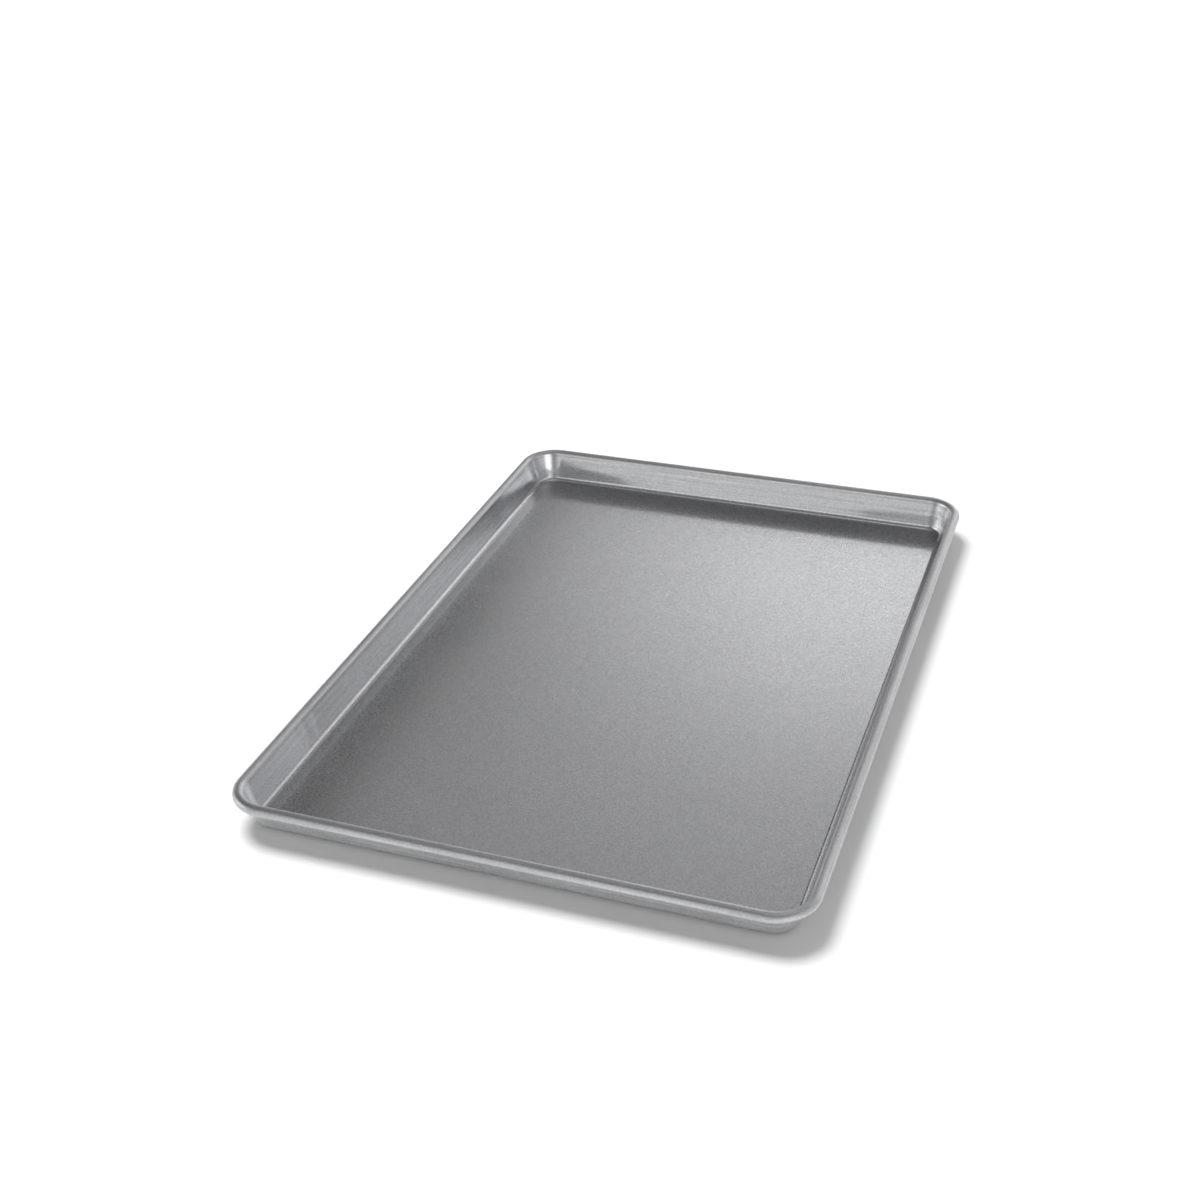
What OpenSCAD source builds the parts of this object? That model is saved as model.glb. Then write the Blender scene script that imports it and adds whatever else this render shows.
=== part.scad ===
// Jelly roll pan: one drawn sheet with a shallow tray form, whose rim is curled round a steel wire.
// Origin: middle of the underside. +X runs along the length, +Y across the width, +Z up. Millimetres.

/* [Pan] */
// Length over the rim bead
pan_length = 440; // [380:1:470]
// Width over the rim bead
pan_width = 305; // [250:1:340]
// Height from the underside to the top of the rim bead
pan_height = 20.3; // [18:0.1:25]
// Corner radius of the rim, seen from above, over the bead
corner_radius = 23; // [21:0.5:40]
// How far a wall leans outwards over 24 mm of rise
wall_lean = 7; // [4:0.5:9]

/* [Sheet] */
// Thickness of the metal sheet
sheet = 0.8; // [0.6:0.05:1]
// Inside radius of the bend from the floor to the walls
bend_radius = 3.5; // [2.5:0.25:5]

/* [Rim] */
// Diameter of the stiffening wire inside the bead
wire_diameter = 4; // [3:0.1:4.4]
// Clearance all round between the wire and the sheet
wire_clearance = 0.2; // [0.1:0.05:0.3]
// Gap between the free edge of the curl and the outside of the wall
curl_gap = 0.3; // [0.2:0.05:0.6]
// Gap between the two butted ends of the wire
wire_butt_gap = 1.5; // [0.5:0.1:4]

/* [Hidden] */
$fn = 96;

// Slope of the walls from upright, and the direction square to a wall, pointing out and down
lean_rise = 24;
wall_slope = atan2(wall_lean, lean_rise);
wall_out = [lean_rise, -wall_lean] / norm([lean_rise, wall_lean]);

// The bead is the wire, its clearance and the sheet that is curled round it
wire_radius = wire_diameter / 2;
curl_inner = wire_radius + wire_clearance;
bead_radius = curl_inner + sheet;
bend_outer = bend_radius + sheet;

// Rise from the centre of the bend to the centre of the bead, and the run that goes with it:
// the wall touches both circles, so the run follows from its slope
rise = pan_height - bead_radius - bend_outer;
run = (bead_radius + bend_radius - rise * wall_out[1]) / wall_out[0];

// Centres of the bead and of the bend in the section, measured out from a corner's upright axis
bead_centre = [corner_radius - bead_radius, pan_height - bead_radius];
bend_centre = [bead_centre[0] - run, bend_outer];

// The curl stops short of the wall: where its outer circle would meet the wall, less the gap
curl_meets_wall = acos(curl_inner / bead_radius);
curl_gap_angle = curl_gap / bead_radius * 180 / PI;
curl_end = -180 - wall_slope + curl_meets_wall + curl_gap_angle;

// A wedge reaches this many radii out, past the far side of the ring that it cuts
wedge_reach = 3;

// Distance of the corner axes from the middle of the pan
axis_x = pan_length / 2 - corner_radius;
axis_y = pan_width / 2 - corner_radius;

function along(angle) = [cos(angle), sin(angle)];

// Flat ring of sheet thickness
module ring(centre, inner, outer) {
    translate(centre)
        difference() {
            circle(r = outer);
            circle(r = inner);
        }
}

// Section of the floor, from a corner's axis out to the start of the bend
module floor_section() {
    square([bend_centre[0], sheet]);
}

// Section of the bend, from the floor up to the wall
module bend_section() {
    reach = wedge_reach * bend_outer;
    intersection() {
        ring(bend_centre, bend_radius, bend_outer);
        polygon([
            bend_centre,
            bend_centre + reach * [0, -1],
            bend_centre + reach * [1, -1],
            bend_centre + reach * wall_out,
        ]);
    }
}

// Section of the straight wall, between the bend and the bead. Each end has a point that reaches into the
// metal of the arc next to it, so that the sections overlap and join at every size
module wall_section() {
    wall_up = [-wall_out[1], wall_out[0]];
    half = sheet / 2;
    polygon([
        bend_centre + bend_radius * wall_out,
        bend_centre + (bend_radius + half) * wall_out - half * wall_up,
        bend_centre + bend_outer * wall_out,
        bead_centre - curl_inner * wall_out,
        bead_centre - (curl_inner + half) * wall_out + half * wall_up,
        bead_centre - bead_radius * wall_out,
    ]);
}

// Section of the curl: over the top of the wire, down its outer side and back under it to the wall
module curl_section() {
    reach = wedge_reach * bead_radius;
    difference() {
        ring(bead_centre, curl_inner, bead_radius);
        polygon([
            bead_centre,
            bead_centre + reach * along(curl_end),
            bead_centre - reach * wall_out,
        ]);
    }
}

// Whole section of the sheet at the side of the pan
module side_section() {
    floor_section();
    bend_section();
    wall_section();
    curl_section();
}

module wire_section() {
    translate(bead_centre)
        circle(r = wire_radius);
}

// A section carried along one straight side: its plane stands across +Y, and it faces +X
module straight_run(length) {
    translate([0, length / 2, 0])
        rotate([90, 0, 0])
            linear_extrude(height = length)
                children();
}

// A section turned round a corner's axis, through the quarter between +X and +Y
module corner_turn() {
    rotate_extrude(angle = 90)
        children();
}

// Sides along X, sides along Y and corners: the same section goes all the way round
module short_sides() {
    for (turn = [0, 180])
        rotate([0, 0, turn])
            translate([axis_x, 0, 0])
                straight_run(2 * axis_y)
                    children();
}

module long_sides() {
    for (turn = [0, 180])
        rotate([0, 0, turn])
            translate([0, axis_y, 0])
                rotate([0, 0, 90])
                    straight_run(2 * axis_x)
                        children();
}

module corners() {
    for (corner = [[1, 1, 0], [-1, 1, 90], [-1, -1, 180], [1, -1, 270]])
        translate([corner[0] * axis_x, corner[1] * axis_y, 0])
            rotate([0, 0, corner[2]])
                corner_turn()
                    children();
}

// Flat middle of the floor, between the corners' axes
module floor_middle() {
    translate([-axis_x, -axis_y, 0])
        cube([2 * axis_x, 2 * axis_y, sheet]);
}

// The drawn sheet: floor, bends, leaning walls and curled rim in one piece
module pan_shell() {
    color([0.64, 0.65, 0.66]) {
        floor_middle();
        short_sides() side_section();
        long_sides() side_section();
        corners() side_section();
    }
}

// The wire hoop inside the bead: round wire bent to the rim, its ends butted midway along the -Y side
module rim_wire() {
    color([0.45, 0.46, 0.47])
        difference() {
            union() {
                short_sides() wire_section();
                long_sides() wire_section();
                corners() wire_section();
            }
            translate([0, -axis_y - bead_centre[0], bead_centre[1]])
                cube([wire_butt_gap, 2 * wire_diameter, 2 * wire_diameter], center = true);
        }
}

pan_shell();
rim_wire();
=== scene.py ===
import math

import bpy
from mathutils import Matrix, Vector


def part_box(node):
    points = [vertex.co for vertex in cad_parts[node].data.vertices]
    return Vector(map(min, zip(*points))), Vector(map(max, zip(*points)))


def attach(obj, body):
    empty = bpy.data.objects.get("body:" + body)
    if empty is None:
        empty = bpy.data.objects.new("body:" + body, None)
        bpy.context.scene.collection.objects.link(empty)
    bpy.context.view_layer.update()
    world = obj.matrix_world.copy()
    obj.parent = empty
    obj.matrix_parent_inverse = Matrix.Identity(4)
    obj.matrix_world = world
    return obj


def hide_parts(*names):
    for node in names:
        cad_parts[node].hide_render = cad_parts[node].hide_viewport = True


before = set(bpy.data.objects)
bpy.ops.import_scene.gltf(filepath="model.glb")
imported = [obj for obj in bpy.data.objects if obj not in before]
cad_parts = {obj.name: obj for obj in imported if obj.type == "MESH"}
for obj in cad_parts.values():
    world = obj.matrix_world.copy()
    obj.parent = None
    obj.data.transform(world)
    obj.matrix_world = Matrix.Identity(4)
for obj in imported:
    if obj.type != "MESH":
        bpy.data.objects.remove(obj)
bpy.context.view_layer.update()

MM = 0.001

# The pan's outline comes from the frame; the section's own sizes are those of its sheet and wire.
pan_low, pan_high = (Vector(corner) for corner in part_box("pan_shell"))
PAN_LENGTH = round((pan_high.x - pan_low.x) / MM) * MM
PAN_WIDTH = round((pan_high.y - pan_low.y) / MM) * MM
PAN_HEIGHT = round((pan_high.z - pan_low.z) / MM, 1) * MM
CORNER_RADIUS = 23 * MM
WALL_LEAN = math.atan2(7, 24)
SHEET = 0.8 * MM
BEND_INNER = 3.5 * MM
WIRE_RADIUS = 2 * MM
WIRE_CLEARANCE = 0.2 * MM
CURL_GAP = 0.3 * MM
FREE_EDGE_ROUND = 0.15 * MM

BEND_OUTER = BEND_INNER + SHEET
CURL_INNER = WIRE_RADIUS + WIRE_CLEARANCE
BEAD_RADIUS = CURL_INNER + SHEET

# Distances of the corners' upright axes from the middle of the pan.
AXIS_X = PAN_LENGTH / 2 - CORNER_RADIUS
AXIS_Y = PAN_WIDTH / 2 - CORNER_RADIUS

# Centres of the bead and the bend in the section: (distance from a corner's axis, height). The wall touches
# both circles, so the run between the centres follows from their rise.
RISE = PAN_HEIGHT - BEAD_RADIUS - BEND_OUTER
RUN = (BEAD_RADIUS + BEND_INNER + RISE * math.sin(WALL_LEAN)) / math.cos(WALL_LEAN)
BEAD_CENTRE = Vector((CORNER_RADIUS - BEAD_RADIUS, PAN_HEIGHT - BEAD_RADIUS))
BEND_CENTRE = Vector((BEAD_CENTRE.x - RUN, BEND_OUTER))

# Angles in the section, from straight out. The curl goes over the top, down and back under.
CURL_START = math.pi - WALL_LEAN
CURL_END = -math.pi - WALL_LEAN + math.acos(CURL_INNER / BEAD_RADIUS) + CURL_GAP / BEAD_RADIUS

# Ends of the wall's inner face in the section, and how far along it the wall's top is from a corner's axis.
WALL_FOOT = BEND_CENTRE + BEND_INNER * Vector((math.cos(WALL_LEAN), -math.sin(WALL_LEAN)))
WALL_HEAD = BEAD_CENTRE - BEAD_RADIUS * Vector((math.cos(WALL_LEAN), -math.sin(WALL_LEAN)))
WALL_TOP = BEND_CENTRE.x + BEND_INNER * (math.pi / 2 - WALL_LEAN) + (WALL_HEAD - WALL_FOOT).length

# How finely the sheet is meshed: steps in a corner, angle per step of a bend, size of a floor cell, and the
# steps from a corner's axis to the bend, up the wall and round each half of the curl's free edge.
CORNER_STEPS = 24
ARC_STEP = math.radians(7.5)
FLOOR_CELL = 18 * MM
FLOOR_STEPS = 4
WALL_STEPS = 6
EDGE_STEPS = 4

# Name of the map that unrolls the sheet: x and y on the floor, else distances along the rim and the section.
SHEET_MAP = "sheet_map"

# Heights over the floor where the wall, and the dent by a corner, begin and where they are full.
WALL_RISE = (1.2 * MM, 4.5 * MM)
DENT_RISE = (1 * MM, 10 * MM)
# Distances from a corner's axis where the bright patch, the wrinkles and the dent are gone and are full.
PATCH_EDGE = (68 * MM, 50 * MM)
WRINKLE_FADE = (90 * MM, 30 * MM)
DENT_FADE = (62 * MM, 22 * MM)
# How far the edges of the patch and of the dent wander, and a wrinkle's size along and up the wall.
PATCH_WANDER = 60 * MM
DENT_WANDER = 9 * MM
WRINKLE_SIZE = (9 * MM, 30 * MM)
# The patch shows on the two long walls: how far past a corner's axis it begins and is full.
PATCH_SIDE = (0, 10 * MM)
# Painted shade line under the bead: how far below the wall's top, and how far to either side it is gone and
# is full.
PAINTED_SHADE_LINE_DROP = 0.6 * MM
PAINTED_SHADE_LINE_EDGE = (1.3 * MM, 0.3 * MM)
# Where the bead begins along the section. From there to the foot of the outer wall the sheet is duller.
OUTER_START = (WALL_TOP, WALL_TOP + 1 * MM)
# Marks that the walls' node group gives; the last is a painted shade line under the bead.
WALL_MARKS = ("Wall", "Outer", "Patch", "Wrinkles", "Dent", "Painted Shade Line")
# Noise of the smudges and of the waves: scale per metre, and the values between which a smudge deepens.
SMUDGE_SCALE = 22.0
WAVE_SCALE = 11.0
SMUDGE_SPAN = (0.3, 0.7)
# How strongly a smudge dulls the gloss, for each part that it changes the metal's tone.
SMUDGE_DULLING = 4.0

# Finishes. Grain, cloud and the streaks say how far the tone varies by crystal, by smudge and by streak,
# patch how much it gains in the patch, and painted_shade_line what is left of it in the painted shade line
# under the bead. Roughness is that of polished and of matt specks, wall_matt that of matt ones on the walls,
# and outer_roughness that of the bead and the outer wall. Wave, wrinkle, dent and grit are heights in
# millimetres.
SATIN_INSIDE = {
    "colour": (0.53, 0.532, 0.545),
    "roughness": (0.1, 0.48),
    "wall_matt": 0.32,
    "outer_roughness": 0.46,
    "polished_share": 0.5,
    "gloss_spread": 0.35,
    "crystal_size": 0.8 * MM,
    "speck_size": 0.2 * MM,
    "grain": 0.09,
    "cloud": 0.015,
    "streak_length": 120 * MM,
    "streak_width": 2 * MM,
    "floor_streaks": 0.05,
    "wall_streaks": 0.8,
    "patch": 0.25,
    "wave": 0.12,
    "wrinkle": 0.06,
    "dent": 0.4,
    "painted_shade_line": 0.86,
    "grit": 0.003,
}
# Outside of the sheet: duller, and its colour painted lighter as painted light on the outer wall by the
# shaded floor.
SATIN_OUTSIDE_PAINTED_LIGHTER = {
    **SATIN_INSIDE,
    "colour": (0.66, 0.662, 0.672),
    "roughness": (0.2, 0.45),
    "outer_roughness": 0.62,
}
DRAWN_WIRE = {
    **SATIN_INSIDE,
    "colour": (0.42, 0.425, 0.435),
    "roughness": (0.3, 0.45),
    "wall_matt": 0.45,
    "outer_roughness": 0.45,
    "crystal_size": 0.4 * MM,
    "floor_streaks": 0.3,
    "patch": 0.0,
    "wave": 0.0,
    "wrinkle": 0.0,
    "dent": 0.0,
    "painted_shade_line": 1.0,
}

# The studio round the pan. Angles are degrees: azimuth from +X towards +Y, and elevation above the horizon.
# White sweep at the horizon: strength, and the elevations up to which it is full and where it is gone.
HORIZON = (0.45, 5, 22)
# Brighter side of the sweep: its azimuth, its reach to either side and what it adds.
FAR_SIDE = (176, 75, 0.6)
# Least height at which a direction's sideways slope is worked out.
LEAST_RISE = 0.02
# Ceiling: strength, the elevations where it starts, where its left edge crosses (sideways per height), and
# the elevations where it dims, with what is left of it overhead.
CEILING = (0.52, (14, 30), (-0.745, -0.695), (36, 51), 0.36)
# Bright window behind the far left corner: strength, its two sides and its bottom and top edges.
WINDOW = (1.14, (120, 152), (190, 207), (2, 15), (28, 38))
# Soft lamps round the pan: azimuth, elevation, spread and strength.
SOFT_LAMPS = (
    (346, 20, 30, 1.15),
    (80, 28, 50, 0.45),
    (45, 8, 24, 2.2),
    (286, 10, 36, 2.3),
    (229, 13, 22, 1.0),
    (180, 78, 28, 0.9),
)
# Key lamp that throws the shadow: where it shines from, its energy and its width in degrees.
KEY_FROM = (-0.29, -0.46, 1.0)
KEY_STRENGTH = 3.1
KEY_WIDTH = 28
# White floor: its tone, how far it reaches to each side, and how far it lies under the pan.
FLOOR_TONE = 0.82
FLOOR_REACH = 4.0
FLOOR_DROP = 0.2 * MM


def direction(angle):
    """Unit step at an angle, across and up."""
    return Vector((math.cos(angle), math.sin(angle)))


def arc(centre, radius, start, end, side):
    """Points round a centre from one angle to another, with normals: side 1 faces away from the centre."""
    steps = max(2, math.ceil(abs(end - start) / ARC_STEP))
    points = []
    for i in range(steps + 1):
        out = direction(start + (end - start) * i / steps)
        points.append((centre + radius * out, side * out))
    return points


def straight(start, end, normal, steps):
    """Points strictly between two ends of a straight stretch of the section."""
    return [(start.lerp(end, i / steps), normal) for i in range(1, steps)]


def free_edge():
    """Rounded edge of the sheet at the end of the curl, from its outer to its inner face."""
    out = direction(CURL_END)
    ahead = Vector((out.y, -out.x))
    edge = []
    for radius, inward, first, last in ((BEAD_RADIUS, -1, out, ahead), (CURL_INNER, 1, ahead, -out)):
        centre = BEAD_CENTRE + (radius + inward * FREE_EDGE_ROUND) * out - FREE_EDGE_ROUND * ahead
        for i in range(1, EDGE_STEPS):
            normal = first.lerp(last, i / EDGE_STEPS).normalized()
            edge.append((centre + FREE_EDGE_ROUND * normal, normal))
    return edge


def sheet_section():
    """The sheet's section from the floor's top face, over the curl and back to the underside."""
    wall_out = direction(-WALL_LEAN)
    down, up = Vector((0, -1)), Vector((0, 1))
    bend_inner = arc(BEND_CENTRE, BEND_INNER, -math.pi / 2, -WALL_LEAN, -1)
    curl_outer = arc(BEAD_CENTRE, BEAD_RADIUS, CURL_START, CURL_END + FREE_EDGE_ROUND / BEAD_RADIUS, 1)
    curl_inner = arc(BEAD_CENTRE, CURL_INNER, CURL_END + FREE_EDGE_ROUND / CURL_INNER, CURL_START, -1)
    bend_outer = arc(BEND_CENTRE, BEND_OUTER, -WALL_LEAN, -math.pi / 2, 1)
    section = [(Vector((0, SHEET)), up)]
    section += straight(section[0][0], bend_inner[0][0], up, FLOOR_STEPS)
    section += bend_inner
    section += straight(bend_inner[-1][0], curl_outer[0][0], -wall_out, WALL_STEPS)
    section += curl_outer + free_edge() + curl_inner
    section += straight(curl_inner[-1][0], bend_outer[0][0], wall_out, WALL_STEPS)
    section += bend_outer
    section += straight(bend_outer[-1][0], Vector((0, 0)), down, FLOOR_STEPS)
    section.append((Vector((0, 0)), down))
    return section


def cell_count(length):
    """How many cells of the floor fit along a length."""
    return math.ceil(length / FLOOR_CELL)


def grid_lines(half, count):
    """Lines that cut the floor into cells, from one corner's axis to the next."""
    return [half * (2 * i / count - 1) for i in range(count + 1)]


def rim_stations():
    """Stations round the pan, anticlockwise from the +X side: (column, row, angle) on the floor's grid."""
    columns, rows = cell_count(2 * AXIS_X), cell_count(2 * AXIS_Y)
    corners = ((columns, rows, 0), (0, rows, 1), (0, 0, 2), (columns, 0, 3))
    stations = []
    for column, row, quarter in corners:
        for i in range(CORNER_STEPS + 1):
            stations.append((column, row, math.pi / 2 * (quarter + i / CORNER_STEPS)))
        step_x, step_y = ((-1, 0), (0, -1), (1, 0), (0, 1))[quarter]
        for i in range(1, columns if step_x else rows):
            stations.append((column + i * step_x, row + i * step_y, math.pi / 2 * (quarter + 1)))
    return stations


def path_lengths(stations, lines_x, lines_y):
    """How far each station is along the rim bead, with one more at the end for the closing stretch."""
    places = []
    for column, row, angle in stations + stations[:1]:
        out = direction(angle)
        places.append(Vector((lines_x[column], lines_y[row])) + BEAD_CENTRE.x * out)
    lengths = [0.0]
    for start, end in zip(places, places[1:]):
        lengths.append(lengths[-1] + (end - start).length)
    return lengths


def floor_points(lines_x, lines_y):
    """Corners of the floor's cells with normals, top face before underside, and the number of each."""
    points, normals, grid = [], [], {}
    for face, (height, up) in enumerate(((SHEET, 1), (0.0, -1))):
        for column, x in enumerate(lines_x):
            for row, y in enumerate(lines_y):
                grid[face, column, row] = len(points)
                points.append((x, y, height))
                normals.append((0, 0, up))
    return points, normals, grid


def add_rim_points(section, stations, lines_x, lines_y, points, normals, grid):
    """Add the section at each station to the points. Its two ends are corners of the floor's cells."""
    swept = {}
    last = len(section) - 1
    for i, (column, row, angle) in enumerate(stations):
        out = direction(angle)
        swept[i, 0] = grid[0, column, row]
        swept[i, last] = grid[1, column, row]
        for j in range(1, last):
            (reach, height), (outward, up) = section[j]
            swept[i, j] = len(points)
            points.append((lines_x[column] + reach * out.x, lines_y[row] + reach * out.y, height))
            normals.append((outward * out.x, outward * out.y, up))
    return swept


def rim_faces(section, along_path, points, swept):
    """Faces between the stations, their places on the sheet's map, and which are on the sheet's outside."""
    along_section = [0.0]
    for (start, _), (end, _) in zip(section, section[1:]):
        along_section.append(along_section[-1] + (end - start).length)
    last = len(section) - 1
    # Past the tip of its curl the section follows the sheet's outside.
    tip = BEAD_CENTRE + BEAD_RADIUS * direction(CURL_END)
    curl_tip = min(range(last), key=lambda j: (section[j][0] - tip).length)
    station_count = len(along_path) - 1
    faces, maps, outside = [], [], []
    for i in range(station_count):
        following = (i + 1) % station_count
        for j in range(last):
            corners = [
                (swept[i, j], along_path[i], along_section[j]),
                (swept[i, j + 1], along_path[i], along_section[j + 1]),
                (swept[following, j + 1], along_path[i + 1], along_section[j + 1]),
                (swept[following, j], along_path[i + 1], along_section[j]),
            ]
            if corners[0][0] == corners[3][0]:
                corners.pop()
            elif corners[1][0] == corners[2][0]:
                corners.pop(2)
            on_floor = section[j][0].y == section[j + 1][0].y
            faces.append([corner[0] for corner in corners])
            maps += [points[c[0]][:2] if on_floor else c[1:] for c in corners]
            outside.append(j >= curl_tip)
    return faces, maps, outside


def floor_faces(columns, rows, points, grid):
    """Faces of the floor's cells, their places on the sheet's map, and which are on the sheet's outside."""
    faces, maps, outside = [], [], []
    for face in (0, 1):
        for column in range(columns):
            for row in range(rows):
                quad = [
                    grid[face, column, row],
                    grid[face, column + 1, row],
                    grid[face, column + 1, row + 1],
                    grid[face, column, row + 1],
                ]
                if face == 1:
                    quad.reverse()
                faces.append(quad)
                maps += [points[corner][:2] for corner in quad]
                outside.append(face == 1)
    return faces, maps, outside


def pan_sheet_mesh():
    """The drawn sheet: its section carried round the rim, and a grid of quads for the floor."""
    section = sheet_section()
    stations = rim_stations()
    columns, rows = cell_count(2 * AXIS_X), cell_count(2 * AXIS_Y)
    lines_x, lines_y = grid_lines(AXIS_X, columns), grid_lines(AXIS_Y, rows)
    points, normals, grid = floor_points(lines_x, lines_y)
    swept = add_rim_points(section, stations, lines_x, lines_y, points, normals, grid)
    rim = rim_faces(section, path_lengths(stations, lines_x, lines_y), points, swept)
    floor = floor_faces(columns, rows, points, grid)
    faces, maps, outside = (of_rim + of_floor for of_rim, of_floor in zip(rim, floor))

    mesh = bpy.data.meshes.new("pan_sheet")
    mesh.from_pydata(points, [], faces)
    mesh.polygons.foreach_set("material_index", [int(side) for side in outside])
    layer = mesh.uv_layers.new(name=SHEET_MAP)
    layer.uv.foreach_set("vector", [number for place in maps for number in place])
    mesh.shade_smooth()
    mesh.normals_split_custom_set_from_vertices(normals)
    mesh.validate()
    return mesh


def add_node(tree, kind, inputs=None, **settings):
    """A node with its settings, whose inputs are given as values or as the sockets that feed them."""
    node = tree.nodes.new(kind)
    for name, value in settings.items():
        setattr(node, name, value)
    for name, value in (inputs or {}).items():
        if isinstance(value, bpy.types.NodeSocket):
            tree.links.new(value, node.inputs[name])
        else:
            node.inputs[name].default_value = value
    return node


def add_math(tree, operation, *values):
    """Result of a math node."""
    return add_node(tree, "ShaderNodeMath", dict(enumerate(values)), operation=operation).outputs[0]


def add_sum(tree, total, *values):
    """Sum of several values."""
    for value in values:
        total = add_math(tree, "ADD", total, value)
    return total


def add_product(tree, product, *values):
    """Product of several values."""
    for value in values:
        product = add_math(tree, "MULTIPLY", product, value)
    return product


def add_ramp(tree, value, start, end, low=0.0, high=1.0, smooth=True):
    """A value taken from low to high between start and end, which may run downwards."""
    inputs = {"Value": value, "From Min": start, "From Max": end, "To Min": low, "To Max": high}
    kind = "SMOOTHSTEP" if smooth else "LINEAR"
    return add_node(tree, "ShaderNodeMapRange", inputs, interpolation_type=kind).outputs["Result"]


def new_group(name, inputs, outputs):
    """A shader node group with its named sockets: (kind of socket, default) for each input."""
    group = bpy.data.node_groups.new(name, "ShaderNodeTree")
    for label, (kind, value) in inputs.items():
        socket = group.interface.new_socket(label, in_out="INPUT", socket_type=kind)
        if value is not None:
            socket.default_value = value
    for label in outputs:
        group.interface.new_socket(label, in_out="OUTPUT", socket_type="NodeSocketFloat")
    return group, group.nodes.new("NodeGroupInput"), group.nodes.new("NodeGroupOutput")


def use_group(tree, group, inputs):
    """Outputs of a group, put to work in a material."""
    return add_node(tree, "ShaderNodeGroup", inputs, node_tree=group).outputs


def coating_crystals_group():
    """Small crystals of a hot-dipped coating: each has its own tone and gloss."""
    group, inward, outward = new_group(
        "coating_crystals",
        {"Vector": ("NodeSocketVector", None), "Crystal Size": ("NodeSocketFloat", 1 * MM)},
        ("Tone", "Gloss", "Height"),
    )
    scale = add_math(group, "DIVIDE", 1.0, inward.outputs["Crystal Size"])
    place = {"Vector": inward.outputs["Vector"], "Scale": scale}
    crystals = add_node(group, "ShaderNodeTexVoronoi", place, feature="F1")
    parts = add_node(group, "ShaderNodeSeparateColor", {"Color": crystals.outputs["Color"]})
    grain = add_node(group, "ShaderNodeTexNoise", {**place, "Detail": 2.0, "Roughness": 0.6})
    group.links.new(parts.outputs[0], outward.inputs["Tone"])
    group.links.new(parts.outputs[1], outward.inputs["Gloss"])
    group.links.new(grain.outputs[0], outward.inputs["Height"])
    return group


def drawn_streaks_group():
    """Long fine streaks that drawing and rolling leave along the metal."""
    group, inward, outward = new_group(
        "drawn_streaks",
        {
            "Vector": ("NodeSocketVector", None),
            "Streak Length": ("NodeSocketFloat", 50 * MM),
            "Streak Width": ("NodeSocketFloat", 0.6 * MM),
        },
        ("Streaks",),
    )
    parts = add_node(group, "ShaderNodeSeparateXYZ", {"Vector": inward.outputs["Vector"]})
    stretched = {
        "X": add_math(group, "DIVIDE", parts.outputs["X"], inward.outputs["Streak Length"]),
        "Y": add_math(group, "DIVIDE", parts.outputs["Y"], inward.outputs["Streak Width"]),
    }
    place = add_node(group, "ShaderNodeCombineXYZ", stretched).outputs[0]
    noise = {"Vector": place, "Scale": 1.0, "Detail": 4.0, "Roughness": 0.65}
    streaks = add_node(group, "ShaderNodeTexNoise", noise).outputs[0]
    group.links.new(streaks, outward.inputs["Streaks"])
    return group


def wall_marks_group():
    """Marks on the walls: a patch, wrinkles and a dent by each corner from drawing, and a painted shade line
    under the bead.
    """
    group, inward, outward = new_group(
        "wall_marks",
        {"Place": ("NodeSocketVector", None), "Along": ("NodeSocketVector", None)},
        WALL_MARKS,
    )
    place = add_node(group, "ShaderNodeSeparateXYZ", {"Vector": inward.outputs["Place"]})
    along = add_node(group, "ShaderNodeSeparateXYZ", {"Vector": inward.outputs["Along"]})
    off_x = add_math(group, "SUBTRACT", add_math(group, "ABSOLUTE", place.outputs["X"]), AXIS_X)
    off_y = add_math(group, "SUBTRACT", add_math(group, "ABSOLUTE", place.outputs["Y"]), AXIS_Y)
    square_x = add_math(group, "POWER", off_x, 2.0)
    square_y = add_math(group, "POWER", off_y, 2.0)
    away = add_math(group, "SQRT", add_sum(group, square_x, square_y))
    wall = add_ramp(group, place.outputs["Z"], *WALL_RISE)
    past_top = add_ramp(group, along.outputs["Y"], *OUTER_START)
    outer = add_product(group, past_top, wall)
    inner = add_math(group, "SUBTRACT", wall, outer)

    wrinkle_width, wrinkle_height = WRINKLE_SIZE
    stretched = {
        "X": add_math(group, "DIVIDE", along.outputs["X"], wrinkle_width),
        "Y": add_math(group, "DIVIDE", along.outputs["Y"], wrinkle_height),
    }
    up_wall = add_node(group, "ShaderNodeCombineXYZ", stretched).outputs[0]
    noise = {"Vector": up_wall, "Scale": 1.0, "Detail": 2.0, "Roughness": 0.5}
    wrinkles = add_node(group, "ShaderNodeTexNoise", noise).outputs[0]
    ragged = add_math(group, "SUBTRACT", wrinkles, 0.5)

    patch_place = add_sum(group, away, add_product(group, ragged, PATCH_WANDER))
    on_long_wall = add_ramp(group, off_y, *PATCH_SIDE)
    patch = add_product(group, add_ramp(group, patch_place, *PATCH_EDGE), inner, on_long_wall)
    rippled = add_product(group, wrinkles, add_ramp(group, away, *WRINKLE_FADE), wall)
    dent_place = add_sum(group, away, add_product(group, ragged, DENT_WANDER))
    over_bend = add_ramp(group, place.outputs["Z"], *DENT_RISE)
    dent = add_product(group, add_ramp(group, dent_place, *DENT_FADE), over_bend)
    from_line = add_math(group, "SUBTRACT", along.outputs["Y"], WALL_TOP - PAINTED_SHADE_LINE_DROP)
    near_line = add_ramp(group, add_math(group, "ABSOLUTE", from_line), *PAINTED_SHADE_LINE_EDGE)
    painted_shade_line = add_product(group, near_line, wall)
    for label, mark in zip(WALL_MARKS, (wall, outer, patch, rippled, dent, painted_shade_line)):
        group.links.new(mark, outward.inputs[label])
    return group


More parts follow.
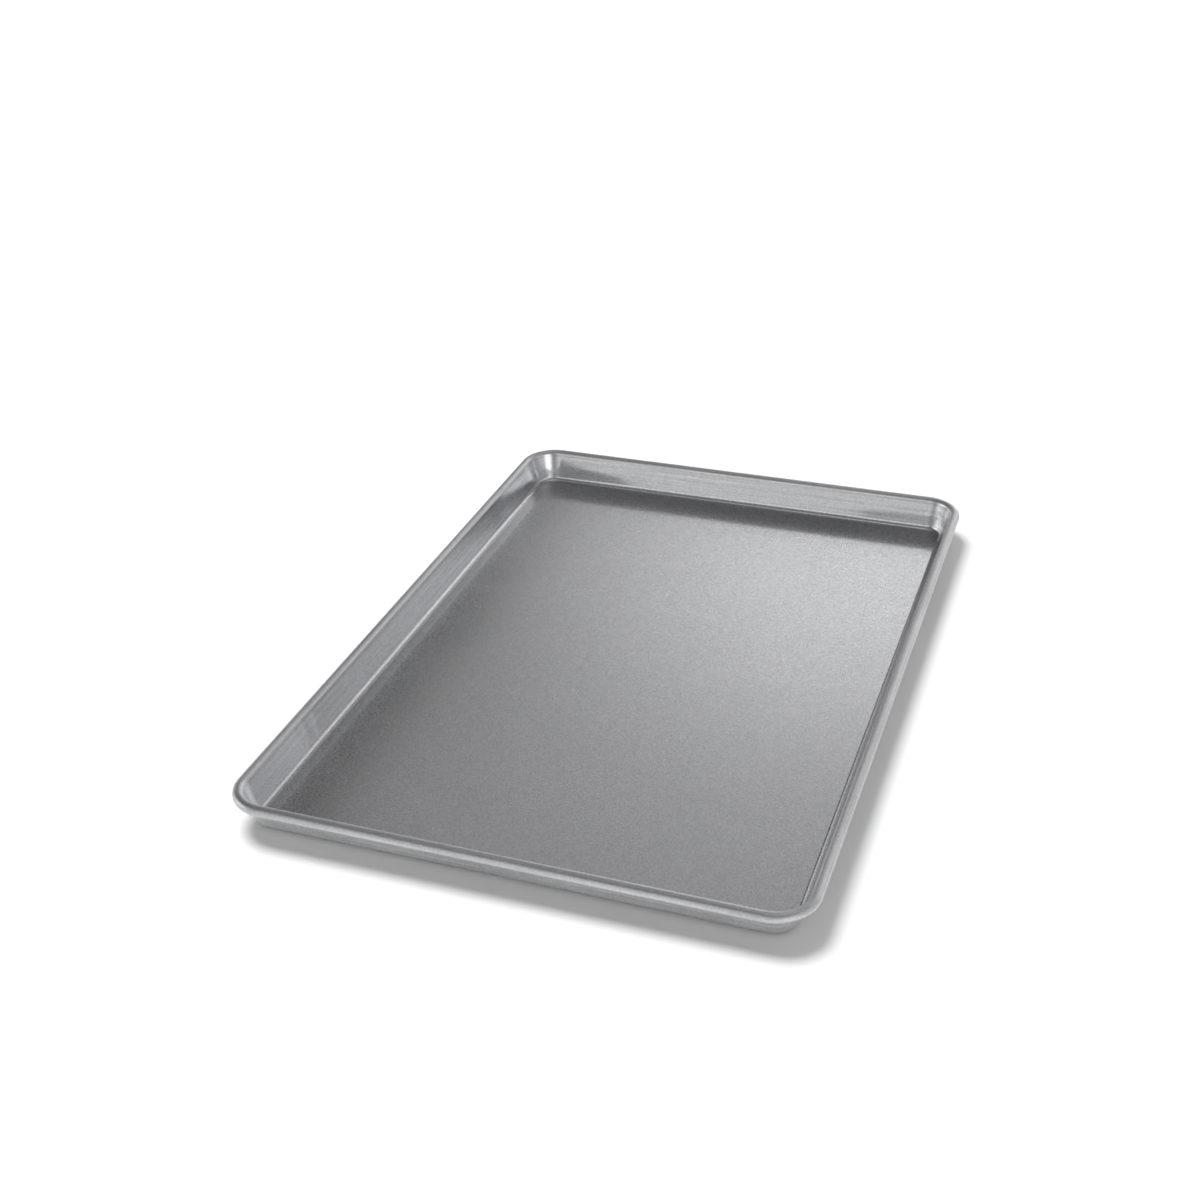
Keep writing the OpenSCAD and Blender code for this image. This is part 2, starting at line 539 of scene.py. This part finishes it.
def sheet_unevenness_group():
    """What keeps a wide sheet from being perfect: faint smudges, and waves that no flattening takes out."""
    group, inward, outward = new_group(
        "sheet_unevenness",
        {"Place": ("NodeSocketVector", None)},
        ("Smudge", "Wave"),
    )
    place = inward.outputs["Place"]
    smudge = add_node(group, "ShaderNodeTexNoise", {"Vector": place, "Scale": SMUDGE_SCALE, "Detail": 3.0})
    wave = add_node(group, "ShaderNodeTexNoise", {"Vector": place, "Scale": WAVE_SCALE, "Detail": 1.0})
    group.links.new(smudge.outputs[0], outward.inputs["Smudge"])
    group.links.new(wave.outputs[0], outward.inputs["Wave"])
    return group


def metal_material(name, groups, finish):
    """Satin coated steel whose tone, gloss and surface vary by crystal, streak, smudge and drawing mark,
    with a painted shade line under the bead.
    """
    material = bpy.data.materials.new(name)
    material.use_nodes = True
    tree = material.node_tree
    shader = tree.nodes["Principled BSDF"]
    shader.inputs["Metallic"].default_value = 1.0
    along = add_node(tree, "ShaderNodeUVMap", uv_map=SHEET_MAP).outputs[0]
    place = add_node(tree, "ShaderNodeTexCoord").outputs["Object"]
    crystals = use_group(tree, groups["crystals"], {"Vector": along, "Crystal Size": finish["crystal_size"]})
    specks = use_group(tree, groups["crystals"], {"Vector": along, "Crystal Size": finish["speck_size"]})
    streak = {"Streak Length": finish["streak_length"], "Streak Width": finish["streak_width"]}
    streaks = use_group(tree, groups["streaks"], {"Vector": along, **streak})["Streaks"]
    marks = use_group(tree, groups["marks"], {"Place": place, "Along": along})
    uneven = use_group(tree, groups["unevenness"], {"Place": place})

    depth = add_ramp(tree, marks["Wall"], 0, 1, finish["floor_streaks"], finish["wall_streaks"], False)
    lines = add_product(tree, add_math(tree, "SUBTRACT", streaks, 0.5), depth)
    grain = add_ramp(tree, crystals["Tone"], 0, 1, -finish["grain"], finish["grain"], False)
    cloud = add_ramp(tree, uneven["Smudge"], *SMUDGE_SPAN, -finish["cloud"], finish["cloud"], False)
    lift = add_product(tree, marks["Patch"], finish["patch"])
    # Painted shade: the tone is darkened in a thin line under the bead.
    shade = add_ramp(tree, marks["Painted Shade Line"], 0, 1, 1.0, finish["painted_shade_line"], False)
    value = add_product(tree, add_sum(tree, 1.0, lines, grain, cloud, lift), shade)
    base = add_node(tree, "ShaderNodeVectorMath", {0: finish["colour"], "Scale": value}, operation="SCALE")
    tree.links.new(base.outputs[0], shader.inputs["Base Color"])

    polished, matt = finish["roughness"]
    share, spread = finish["polished_share"], finish["gloss_spread"]
    dull = add_ramp(tree, marks["Wall"], 0, 1, matt, finish["wall_matt"], False)
    rough = add_ramp(tree, specks["Gloss"], share - spread, share + spread, polished, dull)
    rough = add_ramp(tree, marks["Outer"], 0, 1, rough, finish["outer_roughness"], False)
    smeared = add_sum(tree, 1.0, add_product(tree, cloud, SMUDGE_DULLING))
    tree.links.new(add_product(tree, rough, smeared), shader.inputs["Roughness"])

    height = add_sum(
        tree,
        add_product(tree, uneven["Wave"], finish["wave"]),
        add_product(tree, marks["Wrinkles"], finish["wrinkle"]),
        add_product(tree, marks["Dent"], finish["dent"]),
        add_product(tree, crystals["Height"], finish["grit"]),
    )
    bump = add_node(tree, "ShaderNodeBump", {"Height": height, "Strength": 1.0, "Distance": 1 * MM})
    tree.links.new(bump.outputs[0], shader.inputs["Normal"])
    return material


def stage_floor():
    """White floor that keeps the pan's shadow."""
    signs = ((-1, -1), (1, -1), (1, 1), (-1, 1))
    corners = [(x * FLOOR_REACH, y * FLOOR_REACH, -FLOOR_DROP) for x, y in signs]
    mesh = bpy.data.meshes.new("stage_floor")
    mesh.from_pydata(corners, [], [(0, 1, 2, 3)])
    floor = bpy.data.objects.new("stage_floor", mesh)
    bpy.context.scene.collection.objects.link(floor)
    material = bpy.data.materials.new("white_floor")
    material.use_nodes = True
    shader = material.node_tree.nodes["Principled BSDF"]
    shader.inputs["Base Color"].default_value = (FLOOR_TONE, FLOOR_TONE, FLOOR_TONE, 1)
    shader.inputs["Roughness"].default_value = 1.0
    shader.inputs["Specular IOR Level"].default_value = 0.0
    mesh.materials.append(material)


def degrees_of(tree, operation, *values):
    """Angle that a math node gives, in degrees."""
    return add_math(tree, "DEGREES", add_math(tree, operation, *values))


def soft_lamp_light(tree, way, azimuth, elevation, spread, strength):
    """Light of a soft lamp in each direction, strongest straight at the lamp."""
    level, height = direction(math.radians(azimuth)), direction(math.radians(elevation))
    aim = (height.x * level.x, height.x * level.y, height.y)
    facing = add_node(tree, "ShaderNodeVectorMath", {0: way, 1: aim}, operation="DOT_PRODUCT")
    off = degrees_of(tree, "ARCCOSINE", facing.outputs["Value"])
    return add_ramp(tree, off, spread, 0, 0.0, strength)


def studio_light(tree):
    """Strength of the studio's light from each direction: sweep, ceiling, window and soft lamps."""
    way = add_node(tree, "ShaderNodeTexCoord").outputs["Generated"]
    parts = add_node(tree, "ShaderNodeSeparateXYZ", {"Vector": way})
    elevation = degrees_of(tree, "ARCSINE", parts.outputs["Z"])
    turn = degrees_of(tree, "ARCTAN2", parts.outputs["Y"], parts.outputs["X"])
    azimuth = add_math(tree, "WRAP", turn, 360, 0)
    rise = add_math(tree, "MAXIMUM", parts.outputs["Z"], LEAST_RISE)
    sideways = add_math(tree, "DIVIDE", parts.outputs["Y"], rise)

    strength, full, gone = HORIZON
    middle, reach, extra = FAR_SIDE
    off = add_math(tree, "ABSOLUTE", add_math(tree, "SUBTRACT", azimuth, middle))
    brightness = add_ramp(tree, off, reach, 0, strength, strength + extra)
    sweep = add_product(tree, add_ramp(tree, elevation, gone, full), brightness)

    strength, starts, left_edge, dims, overhead = CEILING
    ceiling = add_product(
        tree,
        add_ramp(tree, elevation, *starts),
        add_ramp(tree, elevation, *dims, 1.0, overhead),
        add_ramp(tree, sideways, *left_edge),
        strength,
    )

    strength, right_side, left_side, bottom, top = WINDOW
    window = add_product(
        tree,
        add_ramp(tree, azimuth, *right_side),
        add_ramp(tree, azimuth, *reversed(left_side)),
        add_ramp(tree, elevation, *bottom),
        add_ramp(tree, elevation, *reversed(top)),
        strength,
    )

    lamps = [soft_lamp_light(tree, way, *lamp) for lamp in SOFT_LAMPS]
    return add_sum(tree, sweep, ceiling, window, *lamps)


def studio_world():
    """White behind the pan for the camera, and the studio's light for everything else."""
    world = bpy.data.worlds.new("studio")
    bpy.context.scene.world = world
    world.use_nodes = True
    tree = world.node_tree
    tree.nodes.clear()
    out = tree.nodes.new("ShaderNodeOutputWorld")
    path = add_node(tree, "ShaderNodeLightPath")
    white = (1, 1, 1, 1)
    light = add_node(tree, "ShaderNodeBackground", {"Color": white, "Strength": studio_light(tree)})
    backdrop = add_node(tree, "ShaderNodeBackground", {"Color": white, "Strength": 1.0})
    mix = add_node(tree, "ShaderNodeMixShader", {0: path.outputs["Is Camera Ray"]})
    tree.links.new(light.outputs[0], mix.inputs[1])
    tree.links.new(backdrop.outputs[0], mix.inputs[2])
    tree.links.new(mix.outputs[0], out.inputs["Surface"])


def key_lamp():
    """Soft high lamp from the far left, which throws the shadow to the front and right."""
    lamp = bpy.data.lights.new("key_lamp", "SUN")
    lamp.energy = KEY_STRENGTH
    lamp.angle = math.radians(KEY_WIDTH)
    key = bpy.data.objects.new("key_lamp", lamp)
    key.rotation_euler = Vector(KEY_FROM).to_track_quat("Z", "Y").to_euler()
    key.visible_glossy = False
    bpy.context.scene.collection.objects.link(key)


def photo_camera():
    """Camera at the photograph's viewpoint: its place, the point of the floor it looks at, and its tilt."""
    place = Vector((0.7854, 0.2656, 0.5224))
    aim = Vector((-0.0585, -0.0464, 0.0))
    tilt = math.radians(-1.71)
    lens = bpy.data.cameras.new("photo_camera")
    lens.lens = 50.09
    lens.sensor_width = 36
    lens.sensor_fit = "HORIZONTAL"
    camera = bpy.data.objects.new("photo_camera", lens)
    turn = (place - aim).to_track_quat("Z", "Y").to_matrix().to_4x4()
    camera.matrix_world = Matrix.Translation(place) @ turn @ Matrix.Rotation(tilt, 4, "Z")
    bpy.context.scene.collection.objects.link(camera)
    bpy.context.scene.camera = camera


def main():
    """Set up the studio, put the drawn sheet in the shell's place and give the wire its finish."""
    bpy.context.scene.view_settings.view_transform = "Standard"
    photo_camera()
    stage_floor()
    studio_world()
    key_lamp()
    groups = {
        "crystals": coating_crystals_group(),
        "streaks": drawn_streaks_group(),
        "marks": wall_marks_group(),
        "unevenness": sheet_unevenness_group(),
    }
    mesh = pan_sheet_mesh()
    mesh.materials.append(metal_material("satin_inside", groups, SATIN_INSIDE))
    mesh.materials.append(metal_material("satin_outside_painted_lighter", groups, SATIN_OUTSIDE_PAINTED_LIGHTER))
    pan = bpy.data.objects.new("pan_sheet", mesh)
    bpy.context.scene.collection.objects.link(pan)
    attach(pan, "root")
    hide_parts("pan_shell")
    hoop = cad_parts["rim_wire"]
    hoop.data.materials.clear()
    hoop.data.materials.append(metal_material("drawn_wire", groups, DRAWN_WIRE))


main()
